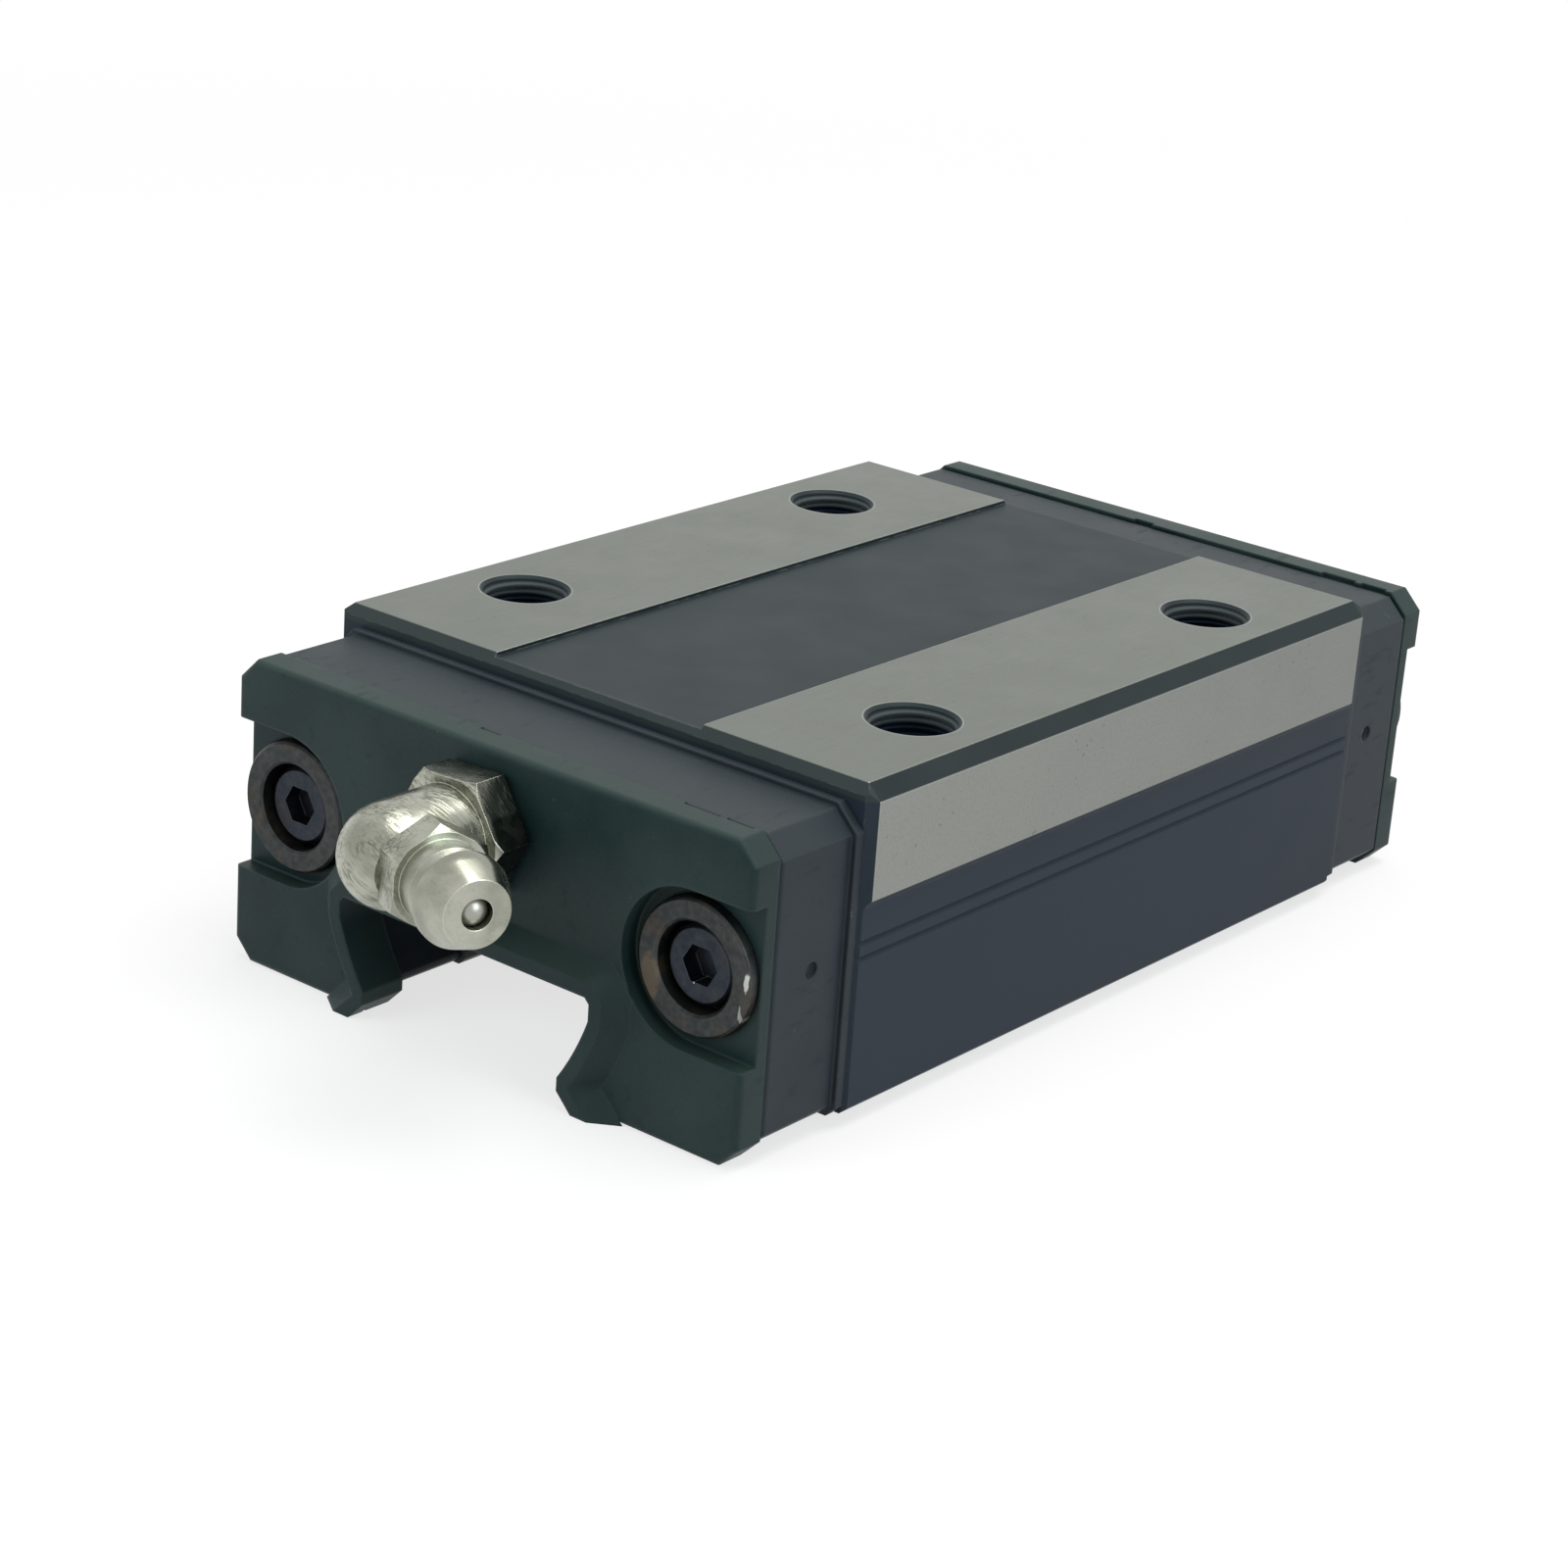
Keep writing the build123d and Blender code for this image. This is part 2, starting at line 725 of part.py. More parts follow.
def turn_of_balls(circuit, end):
    """Balls of one turn, spaced as the rows are."""
    centre = circuit.place(turn_radius, end * half_length)
    step = math.pi / balls_per_turn
    balls = []
    for i in range(balls_per_turn):
        angle = (i + 0.5) * step
        along = Vector(0, end * turn_radius * math.sin(angle), 0)
        spot = centre - circuit.outward() * (turn_radius * math.cos(angle)) + along
        balls.append(Pos(spot) * Sphere(ball_radius))
    return Compound(balls)


def retainer_nodes():
    """The retainers under the names of their places, from left to right."""
    strips = make_retainers().solids().sort_by(Axis.X)
    names = ["left_lower", "left_corner", "centre", "right_corner", "right_lower"]
    return {f"{name}_retainer": strip for name, strip in zip(names, strips)}


def build_nodes():
    """Every piece of the carriage under its name."""
    nodes = {"carriage_block": make_block()}
    nodes.update(retainer_nodes())
    for end, end_name in end_names.items():
        nodes[f"{end_name}_end_cap"] = make_cap(end)
        nodes[f"{end_name}_end_seal"] = make_seal(end)
        for side, side_name in side_names.items():
            nodes[f"{end_name}_{side_name}_return_guide"] = make_guide(side, end)
            nodes[f"{end_name}_{side_name}_screw"] = make_screw(side, end)
            nodes[f"{end_name}_{side_name}_collar"] = make_collar(side, end)
    for circuit in all_circuits:
        nodes[f"{circuit.name}_load_balls"] = row_of_balls(circuit, 0)
        nodes[f"{circuit.name}_return_balls"] = row_of_balls(circuit, return_distance)
        for end, end_name in end_names.items():
            nodes[f"{circuit.name}_{end_name}_turn_balls"] = turn_of_balls(circuit, end)
    nodes["nipple_elbow"] = make_elbow()
    nodes["nipple_head"] = make_head()
    nodes["nipple_check_ball"] = make_check_ball()
    nodes["nipple_spring"] = make_nipple_spring()
    nodes["rear_grease_plug"] = make_plug()
    return nodes


os.makedirs("parts", exist_ok=True)
for node_name, shape in build_nodes().items():
    export_step(shape, f"parts/{node_name}.step")
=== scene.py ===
"""Dresses a linear bearing carriage: finishes, hole threads, studio light and camera."""
import json
import logging
import math
from collections.abc import Iterable, Mapping, Sequence
from dataclasses import dataclass, field
from enum import Enum
from typing import Union

import bpy
from mathutils import Matrix, Vector


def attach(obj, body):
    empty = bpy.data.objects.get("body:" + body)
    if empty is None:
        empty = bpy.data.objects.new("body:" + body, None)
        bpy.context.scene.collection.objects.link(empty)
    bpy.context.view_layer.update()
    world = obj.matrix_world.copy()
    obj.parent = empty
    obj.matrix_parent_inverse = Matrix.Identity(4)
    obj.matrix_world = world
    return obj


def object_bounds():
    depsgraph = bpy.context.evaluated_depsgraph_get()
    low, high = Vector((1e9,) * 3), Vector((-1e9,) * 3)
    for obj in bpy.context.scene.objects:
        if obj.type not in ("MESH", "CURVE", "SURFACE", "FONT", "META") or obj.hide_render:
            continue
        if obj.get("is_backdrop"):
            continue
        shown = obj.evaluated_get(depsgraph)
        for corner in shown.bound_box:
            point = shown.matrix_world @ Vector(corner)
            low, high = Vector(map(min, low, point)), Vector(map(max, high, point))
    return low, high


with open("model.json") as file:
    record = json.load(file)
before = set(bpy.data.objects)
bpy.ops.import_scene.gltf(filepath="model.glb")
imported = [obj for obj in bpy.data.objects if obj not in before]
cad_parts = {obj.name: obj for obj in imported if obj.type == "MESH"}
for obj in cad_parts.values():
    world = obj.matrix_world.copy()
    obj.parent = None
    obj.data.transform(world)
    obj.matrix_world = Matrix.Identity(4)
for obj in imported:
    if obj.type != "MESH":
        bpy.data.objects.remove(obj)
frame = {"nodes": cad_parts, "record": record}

LOG = logging.getLogger("carriage")
MM = 0.001
FLOOR_GAP = 0.02 * MM
WHITE = (1.0, 1.0, 1.0)

# Depths under a ground face at which its finish ends and is full
SKIN_MM = (0.06, 0.02)

# Turn of a rounded normal at which an edge's wear and painted edge highlight start and are full
EDGE_TURN = (0.02, 0.2)

# Upward part of a normal at which the painted top light on moulded faces starts and is full
UPWARD = (0.3, 0.8)

Colour = tuple[float, float, float]
Value = Union["Signal", float, int, bool, str, Sequence[float], bpy.types.ID]


class Axis(Enum):
    """The three directions of the frame, as Separate XYZ gives them."""

    ACROSS = 0
    ALONG = 1
    UP = 2


class Signal:
    """One node output, which Python's operators turn into more Math nodes."""

    def __init__(self, graph: "NodeGraph", socket: bpy.types.NodeSocket) -> None:
        """Keep the graph that new nodes go into, and the output itself."""
        self.graph = graph
        self.socket = socket

    def __add__(self, other: Value) -> "Signal":
        """Sum."""
        return self.graph.math("ADD", self, other)

    def __radd__(self, other: Value) -> "Signal":
        """Sum with a number on the left."""
        return self.graph.math("ADD", other, self)

    def __sub__(self, other: Value) -> "Signal":
        """Difference."""
        return self.graph.math("SUBTRACT", self, other)

    def __rsub__(self, other: Value) -> "Signal":
        """Difference with a number on the left."""
        return self.graph.math("SUBTRACT", other, self)

    def __mul__(self, other: Value) -> "Signal":
        """Product."""
        return self.graph.math("MULTIPLY", self, other)

    def __rmul__(self, other: Value) -> "Signal":
        """Product with a number on the left."""
        return self.graph.math("MULTIPLY", other, self)

    def __truediv__(self, other: Value) -> "Signal":
        """Quotient."""
        return self.graph.math("DIVIDE", self, other)

    def __abs__(self) -> "Signal":
        """Size without its sign."""
        return self.graph.math("ABSOLUTE", self)

    def __pow__(self, power: Value) -> "Signal":
        """Power."""
        return self.graph.math("POWER", self, power)


class NodeGraph:
    """Adds nodes to one tree, of a material or of a modifier."""

    def __init__(self, tree: bpy.types.NodeTree) -> None:
        """Keep the tree and empty it."""
        self.tree = tree
        self.tree.nodes.clear()

    def node(
        self,
        kind: str,
        sockets: Mapping[Union[str, int], Value] | None = None,
        output: Union[str, int] = 0,
        **settings: object,
    ) -> Signal:
        """Add one node.

        Args:
            kind: The node's type.
            sockets: A value or a link for each named or numbered input.
            output: The output that is wanted.
            settings: The node's own settings, which are set first. Stops are a ramp's.

        Returns:
            The wanted output.
        """
        made = self.tree.nodes.new(kind)
        stops = settings.pop("stops", None)
        for name, value in settings.items():
            setattr(made, name, value)
        if stops:
            self._set_stops(made.color_ramp, stops)
        for key, value in (sockets or {}).items():
            self._feed(made.inputs[key], value)
        return Signal(self, made.outputs[output] if made.outputs else None)

    @staticmethod
    def _set_stops(ramp: bpy.types.ColorRamp, stops: Sequence[tuple[float, Colour]]) -> None:
        """Give a ramp its stops.

        Args:
            ramp: The colour ramp of a node.
            stops: Place and colour of each stop, in order.
        """
        while len(ramp.elements) < len(stops):
            ramp.elements.new(1.0)
        for element, (place, colour) in zip(ramp.elements, stops):
            element.position = place
            element.color = (*colour, 1.0)

    def _feed(self, socket: bpy.types.NodeSocket, value: Value) -> None:
        """Link an input to an output, or give it a plain value.

        Args:
            socket: The input.
            value: The output or the plain value.
        """
        if isinstance(value, Signal):
            self.tree.links.new(value.socket, socket)
        elif isinstance(value, tuple) and socket.type == "RGBA":
            socket.default_value = (*value[:3], 1.0)
        else:
            socket.default_value = value

    def math(self, operation: str, first: Value, second: Value = 0.0) -> Signal:
        """Add one Math node.

        Args:
            operation: Its operation.
            first: Its first value.
            second: Its second value.

        Returns:
            The result.
        """
        return self.node("ShaderNodeMath", {0: first, 1: second}, operation=operation)

    def vector(
        self, operation: str, sockets: Mapping[Union[str, int], Value], output: str = "Vector"
    ) -> Signal:
        """Add one Vector Math node.

        Args:
            operation: Its operation.
            sockets: A value or a link for each input.
            output: Vector, or Value where the result is a number.

        Returns:
            The result.
        """
        return self.node("ShaderNodeVectorMath", sockets, output=output, operation=operation)

    def ramp(self, value: Value, low: float, high: float, kind: str = "LINEAR") -> Signal:
        """Turn a span of a value into 0 to 1.

        Args:
            value: The value.
            low: Where the result is 0.
            high: Where the result is 1.
            kind: Straight or smooth between the two.

        Returns:
            The result, kept from 0 to 1.
        """
        span = {"Value": value, "From Min": low, "From Max": high}
        return self.node("ShaderNodeMapRange", span, interpolation_type=kind)


class ShaderGraph(NodeGraph):
    """The nodes of one material, which end in a Principled shader."""

    def __init__(self, name: str) -> None:
        """Make the material and read the object's own coordinates."""
        self.material = bpy.data.materials.new(f"{name}_finish")
        self.material.use_nodes = True
        super().__init__(self.material.node_tree)
        self.place = self.node("ShaderNodeTexCoord", output="Object")

    def along(self, axis: Axis) -> Signal:
        """Distance from the origin along one axis, in millimetres."""
        return self.node("ShaderNodeSeparateXYZ", {0: self.place}, output=axis.value) / MM

    def noise(
        self, grain_mm: float, detail: float = 2.0, stretch: Sequence[float] = (1, 1, 1)
    ) -> Signal:
        """Random variation from about 0 to 1.

        Args:
            grain_mm: Size of a patch.
            detail: How many finer levels it has.
            stretch: How much longer a patch is along each axis.

        Returns:
            The variation.
        """
        sizes = tuple(1 / (grain_mm * MM * s) for s in stretch)
        spread = self.vector("MULTIPLY", {0: self.place, 1: sizes})
        return self.node("ShaderNodeTexNoise", {"Vector": spread, "Scale": 1.0, "Detail": detail})

    def streaks(self, way: Sequence[float], grain_mm: float, reach: float = 30.0) -> Signal:
        """Long thin marks that run one way, from about 0 to 1.

        Args:
            way: The direction they run in.
            grain_mm: Their usual width.
            reach: How many times longer than wide they are.

        Returns:
            The variation.
        """
        run = tuple(Vector(way).normalized())
        share = self.vector("DOT_PRODUCT", {0: self.place, 1: run}, "Value") * (1 - 1 / reach)
        along = self.vector("SCALE", {0: run, "Scale": share})
        pressed = self.vector("SUBTRACT", {0: self.place, 1: along})
        scale = 1 / (grain_mm * MM)
        return self.node("ShaderNodeTexNoise", {"Vector": pressed, "Scale": scale, "Detail": 2.0})

    def spots(self, spacing_mm: float, radius: float) -> Signal:
        """Small round specks, 1 inside and 0 outside.

        Args:
            spacing_mm: Usual distance between specks.
            radius: Radius of a speck as a share of that distance.

        Returns:
            The mask.
        """
        scale = 1 / (spacing_mm * MM)
        cells = self.node("ShaderNodeTexVoronoi", {"Vector": self.place, "Scale": scale})
        return 1 - self.ramp(cells, radius * 0.6, radius)

    def patch(self, centre: Sequence[float], size: Sequence[float], ragged: float = 0.5) -> Signal:
        """One ragged mark on the front half, seen from the front, 1 inside and 0 outside.

        Args:
            centre: Its middle across and up, in millimetres.
            size: Its half width and half height, in millimetres.
            ragged: How far its outline strays, as a share of its size.

        Returns:
            The mask.
        """
        across = (self.along(Axis.ACROSS) - centre[0]) / size[0]
        up = (self.along(Axis.UP) - centre[1]) / size[1]
        reach = (across ** 2 + up ** 2) ** 0.5
        at_front = 1 - self.ramp(self.along(Axis.ALONG), -1.0, 1.0)
        stray = (self.noise(0.5, 3.0) - 0.5) * 2 * ragged
        return (1 - self.ramp(reach + stray, 0.75, 1.0)) * at_front

    def facing_up(self) -> Signal:
        """How far a surface faces up, from 0 to 1."""
        normal = self.node("ShaderNodeNewGeometry", output="Normal")
        upward = self.node("ShaderNodeSeparateXYZ", {0: normal}, output=Axis.UP.value)
        return self.ramp(upward, *UPWARD)

    def blend(self, factor: Value, first: Value, second: Value) -> Signal:
        """Mix two colours.

        Args:
            factor: Share of the second colour.
            first: The first colour.
            second: The second colour.

        Returns:
            The mixed colour.
        """
        sockets = {0: factor, 6: first, 7: second}
        return self.node("ShaderNodeMix", sockets, output=2, data_type="RGBA")

    def bump(self, height: Value, depth_mm: float, normal: Value | None = None) -> Signal:
        """Raise a surface by a height from 0 to 1.

        Args:
            height: The height.
            depth_mm: How far 1 stands above 0.
            normal: A normal to build on, or none.

        Returns:
            The new normal.
        """
        sockets: dict[Union[str, int], Value] = {"Height": height, "Distance": depth_mm * MM}
        if normal is not None:
            sockets["Normal"] = normal
        return self.node("ShaderNodeBump", sockets)

    def rounded(self, radius_mm: float) -> Signal:
        """Normal of the surface with its edges rounded by a radius."""
        return self.node("ShaderNodeBevel", {"Radius": radius_mm * MM}, samples=6)

    def edge(self, radius_mm: float) -> Signal:
        """How near a sharp edge a point is, from 0 to 1.

        Args:
            radius_mm: How far an edge reaches.

        Returns:
            The mask.
        """
        true_normal = self.node("ShaderNodeNewGeometry", output="Normal")
        rounded = self.rounded(radius_mm)
        likeness = self.vector("DOT_PRODUCT", {0: rounded, 1: true_normal}, "Value")
        return self.ramp(1 - likeness, *EDGE_TURN)

    def finish(self, **sockets: Value) -> bpy.types.Material:
        """Close the tree with its Principled shader.

        Args:
            sockets: Values by the input's name, with an underscore for each space.

        Returns:
            The finished material.
        """
        named = {name.replace("_", " "): value for name, value in sockets.items()}
        shader = self.node("ShaderNodeBsdfPrincipled", named)
        self.node("ShaderNodeOutputMaterial", {"Surface": shader})
        return self.material


@dataclass(frozen=True)
class BlockSteel:
    """Blackened steel that is ground on its top strips and side bands."""

    slot: str = "carriage_steel"
    black: Colour = (0.0125, 0.0200, 0.0305)
    bevel: Colour = (0.0115, 0.0185, 0.0210)
    end_bevel_lit: Colour = (0.0240, 0.0325, 0.0335)
    recess: Colour = (0.0120, 0.0200, 0.0235)
    strip: Colour = (0.155, 0.172, 0.147)
    band: Colour = (0.258, 0.266, 0.246)
    band_rear: Colour = (0.205, 0.212, 0.200)
    pale: Colour = (0.27, 0.28, 0.26)
    worn: Colour = (0.24, 0.25, 0.25)
    speck: Colour = (0.08, 0.08, 0.08)
    bore: Colour = (0.020, 0.028, 0.031)
    thread: Colour = (0.062, 0.074, 0.078)
    deep_bore_shade: Colour = (0.003, 0.010, 0.020)
    rim: Colour = (0.46, 0.48, 0.46)
    ground_edge_highlight: Colour = (0.50, 0.52, 0.50)
    cloud_share: float = 0.02
    wear_share: float = 0.5
    line_share: float = 0.22
    grain_share: float = 0.18
    edge_highlight_share: float = 0.65
    speck_share: float = 0.6
    rim_highlight_share: float = 0.6
    specular: float = 0.13
    half_width_mm: float = 24.0
    half_length_mm: float = 29.75
    recess_half_width_mm: float = 9.25
    hole_offset_mm: float = 17.5
    hole_radius_mm: float = 3.27
    edge_mm: float = 0.16
    bevel_foot_mm: tuple[float, float] = (-1.2, -1.0)
    worn_above_mm: tuple[float, float] = (-9.0, -8.6)
    first_thread_mm: tuple[float, float] = (-0.5, -0.3)
    deep_shade_mm: tuple[float, float] = (-1.4, -1.1)

    def material(self) -> bpy.types.Material:
        """Build the material."""
        g = ShaderGraph(self.slot)
        across, along = abs(g.along(Axis.ACROSS)), abs(g.along(Axis.ALONG))
        up = g.along(Axis.UP)
        outside = g.ramp(across, self.recess_half_width_mm - 0.1, self.recess_half_width_mm)
        top = g.ramp(up, *(-depth for depth in SKIN_MM)) * outside
        side = g.ramp(across, *(self.half_width_mm - depth for depth in SKIN_MM))
        ground = g.math("MAXIMUM", top, side)
        patches, grain = g.noise(6.0, 3.0), g.noise(0.22, 3.0)
        colour = self._blackened(g, along, up, outside, patches)
        colour = g.blend(ground, colour, self._ground(g, top, patches, grain))
        offset = ((across - self.hole_offset_mm) ** 2 + (along - self.hole_offset_mm) ** 2) ** 0.5
        hole = 1 - g.ramp(offset, self.hole_radius_mm, self.hole_radius_mm + 0.05)
        # Painted highlight: a thin pale ring on the top strips round each hole
        rim = (1 - g.ramp(offset, self.hole_radius_mm + 0.06, self.hole_radius_mm + 0.14)) * top
        colour = g.blend(rim * self.rim_highlight_share, colour, self.rim)
        # Painted light on the first thread turns: the hole wall is lighter a little below its top
        wall = g.blend(1 - g.ramp(up, *self.first_thread_mm), self.bore, self.thread)
        # Painted shade deep in the hole: the wall turns nearly black further down
        wall = g.blend(1 - g.ramp(up, *self.deep_shade_mm), wall, self.deep_bore_shade)
        colour = g.blend(hole, colour, wall)
        rough = 0.42 - 0.10 * ground + 0.10 * g.ramp(patches, 0.3, 0.7)
        height = grain * (1 - ground * 0.5)
        normal = g.bump(height, 0.005, g.rounded(0.12))
        sockets = {"Base_Color": colour, "Metallic": ground * (1 - hole) * 0.95}
        return g.finish(Roughness=rough, Normal=normal, Specular_IOR_Level=self.specular, **sockets)

    def _blackened(
        self, g: ShaderGraph, along: Signal, up: Signal, outside: Signal, patches: Signal
    ) -> Signal:
        """Colour of the surfaces that aren't ground.

        Args:
            g: The material's graph.
            along: Distance from the middle along the block in millimetres.
            up: Height in millimetres.
            outside: 1 outside the recess.
            patches: Broad variation.

        Returns:
            The colour.
        """
        above = g.ramp(up, *self.bevel_foot_mm)
        # Painted light: the chamfers at the block's ends are painted lighter than the side chamfers
        end = g.ramp(along, self.half_length_mm - 0.72, self.half_length_mm - 0.68)
        dark = g.blend(above, self.black, g.blend(end, self.bevel, self.end_bevel_lit))
        dark = g.blend(above * (1 - outside) * (1 - end), dark, self.recess)
        dark = g.blend(g.ramp(patches, 0.3, 0.75) * self.cloud_share, dark, self.pale)
        worn = g.edge(self.edge_mm) * g.ramp(g.noise(0.9, 4.0), 0.45, 0.62)
        worn = worn * g.ramp(up, *self.worn_above_mm)
        return g.blend(worn * self.wear_share, dark, self.worn)

    def _ground(self, g: ShaderGraph, top: Signal, patches: Signal, grain: Signal) -> Signal:
        """Colour of the ground strips and bands.

        Args:
            g: The material's graph.
            top: 1 on the strips on top.
            patches: Broad variation.
            grain: Fine variation.

        Returns:
            The colour.
        """
        lines = g.streaks((0, 1, 0), 0.08, 50.0)
        # Painted light: the side bands are painted lighter than the top strips; they turn darker
        # towards the rear
        rearward = g.ramp(g.along(Axis.ALONG), -self.half_length_mm, self.half_length_mm)
        shine = g.blend(top, g.blend(rearward, self.band, self.band_rear), self.strip)
        shine = g.blend(g.ramp(lines, 0.35, 0.75) * self.line_share, shine, self.pale)
        shine = g.blend(g.ramp(grain, 0.45, 0.75) * self.grain_share, shine, self.speck)
        # Painted edge highlight along the edges of the ground faces
        shine = g.blend(g.edge(self.edge_mm) * self.edge_highlight_share, shine, self.ground_edge_highlight)
        specks = g.spots(0.9, 0.13) * g.ramp(patches, 0.48, 0.60)
        return g.blend(specks * self.speck_share, shine, self.speck)


@dataclass(frozen=True)
class Moulding:
    """Moulded plastic with a fine eroded grain, painted top light on upward faces and painted
    highlights on its edges.
    """

    slot: str
    colour: Colour
    pale: Colour
    dust_colour: Colour = (0.22, 0.23, 0.21)
    dust: float = 0.3
    cloud_share: float = 0.3
    grain_share: float = 0.25
    edge_highlight_share: float = 0.6
    grain_mm: float = 0.11
    grain_depth_mm: float = 0.012
    roughness: float = 0.42
    specular: float = 0.2
    edge_mm: float = 0.3
    top_light_share: float = 0.35

    def material(self) -> bpy.types.Material:
        """Build the material."""
        g = ShaderGraph(self.slot)
        grain, clouds = g.noise(self.grain_mm, 3.0), g.noise(7.0, 4.0)
        scuff = g.ramp(g.noise(0.9, 4.0, (1, 3, 1)), 0.60, 0.74)
        colour = g.blend(g.ramp(clouds, 0.3, 0.7) * self.cloud_share, self.colour, self.pale)
        colour = g.blend(g.ramp(grain, 0.55, 0.8) * self.grain_share, colour, self.pale)
        # Painted light from above: upward faces are blended towards the pale colour
        colour = g.blend(g.facing_up() * self.top_light_share, colour, self.pale)
        # Painted edge highlight: edges are blended towards the pale colour
        colour = g.blend(g.edge(self.edge_mm) * self.edge_highlight_share, colour, self.pale)
        dust = g.spots(1.3, 0.07) * g.ramp(clouds, 0.5, 0.6)
        colour = g.blend(dust * self.dust, colour, self.dust_colour)
        rough = self.roughness + 0.12 * g.ramp(clouds, 0.3, 0.7) + scuff * 0.14
        normal = g.bump(grain, self.grain_depth_mm, g.rounded(self.edge_mm))
        sockets = {"Base_Color": colour, "Roughness": rough, "Normal": normal}
        return g.finish(Specular_IOR_Level=self.specular, **sockets)


@dataclass(frozen=True)
class FaceMark:
    """One mark at a known place on a front face; stains and painted highlights are both given this
    way.
    """

    centre: tuple[float, float]
    size: tuple[float, float]
    colour: Colour
    strength: float = 0.9


@dataclass(frozen=True)
class TurnedMetal:
    """Blackened or bright metal with tool marks, stains, marks at known places, and edges painted
    lighter for wear and for a painted highlight.
    """

    slot: str
    colour: Colour
    worn: Colour
    stain: Colour
    roughness: float = 0.25
    edge_mm: float = 0.1
    edge_wear_and_highlight: float = 0.5
    stain_share: float = 0.8
    haze_share: float = 0.18
    mark_mm: float = 0.08
    mark_depth_mm: float = 0.004
    face_marks: tuple[FaceMark, ...] = ()

    def material(self) -> bpy.types.Material:
        """Build the material."""
        g = ShaderGraph(self.slot)
        patches = g.noise(2.2, 4.0)
        marks = g.noise(self.mark_mm, 2.0, (6, 1, 6))
        colour = g.blend(g.ramp(patches, 0.52, 0.62) * self.stain_share, self.colour, self.stain)
        haze = g.ramp(g.noise(0.5, 3.0), 0.35, 0.75)
        colour = g.blend(haze * self.haze_share, colour, self.worn)
        # Edges are painted lighter: partly wear, partly a painted highlight on the rims
        colour = g.blend(g.edge(self.edge_mm) * self.edge_wear_and_highlight, colour, self.worn)
        # Marks at known places, stains and painted highlights among them
        for face_mark in self.face_marks:
            mark = g.patch(face_mark.centre, face_mark.size) * face_mark.strength
            colour = g.blend(mark, colour, face_mark.colour)
        rough = self.roughness + 0.18 * g.ramp(patches, 0.35, 0.75) + 0.05 * marks
        normal = g.bump(marks, self.mark_depth_mm, g.rounded(self.edge_mm))
        return g.finish(Base_Color=colour, Metallic=1.0, Roughness=rough, Normal=normal)


CAP_COLOURS: tuple[Colour, ...] = ((0.0080, 0.0135, 0.0205), (0.040, 0.050, 0.053))
SEAL_COLOURS: tuple[Colour, ...] = ((0.0035, 0.0135, 0.0155), (0.034, 0.058, 0.048))
RETAINER_COLOURS: tuple[Colour, ...] = ((0.035, 0.038, 0.040), (0.055, 0.058, 0.060))
SCREW_COLOURS: tuple[Colour, ...] = (
    (0.028, 0.034, 0.044),
    (0.12, 0.13, 0.15),
    (0.045, 0.045, 0.05),
)
# One small bright spot on the screw's head
SCREW_BRIGHT_SPOTS = (FaceMark((17.66, -12.68), (0.06, 0.09), (0.55, 0.58, 0.60)),)
COLLAR_COLOURS: tuple[Colour, ...] = (
    (0.040, 0.045, 0.046),
    (0.20, 0.195, 0.18),
    (0.062, 0.056, 0.048),
)
# A brown stain on the collar's face, and two painted highlights on its rim
COLLAR_STAIN_AND_GLINTS = (
    FaceMark((14.5, -13.2), (0.95, 1.9), (0.120, 0.098, 0.072)),
    FaceMark((22.40, -11.0), (0.20, 0.75), (0.55, 0.57, 0.53)),
    FaceMark((22.05, -13.5), (0.14, 0.9), (0.32, 0.32, 0.29)),
)
SPRING_COLOURS: tuple[Colour, ...] = ((0.50, 0.50, 0.48), (0.6, 0.6, 0.6), (0.4, 0.38, 0.34))


